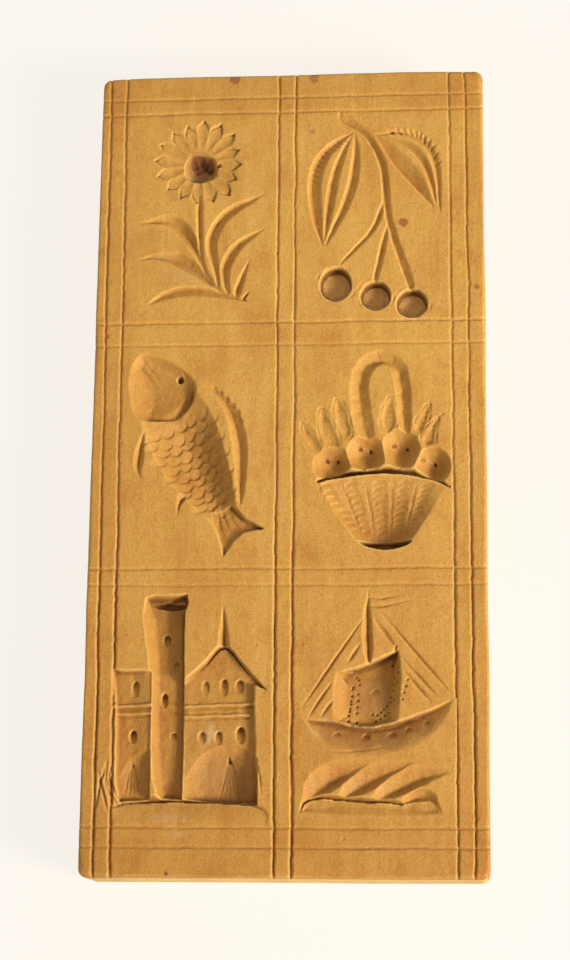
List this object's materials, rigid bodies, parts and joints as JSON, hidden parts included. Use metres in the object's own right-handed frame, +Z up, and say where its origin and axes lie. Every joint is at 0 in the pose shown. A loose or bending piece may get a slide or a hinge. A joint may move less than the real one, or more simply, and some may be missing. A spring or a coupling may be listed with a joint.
{
  "type": "carved wooden butter mold",
  "caption": "Flat rectangular wooden butter mold: a plank with pictures carved into its upper face and divided by scored border lines.",
  "frame": {"origin": "middle of the flat underside", "axes": "+Z up through the carved face, +Y along the plank toward the end with the flower and the cherries, +X toward the cherries' side"},
  "size_m": [0.11, 0.229, 0.02],
  "materials": {
    "wood": "old hardwood, dry and hand-rubbed, worn lighter on its edges"
  },
  "bodies": {
    "root": {"board": "wood"}
  },
  "joints": []
}
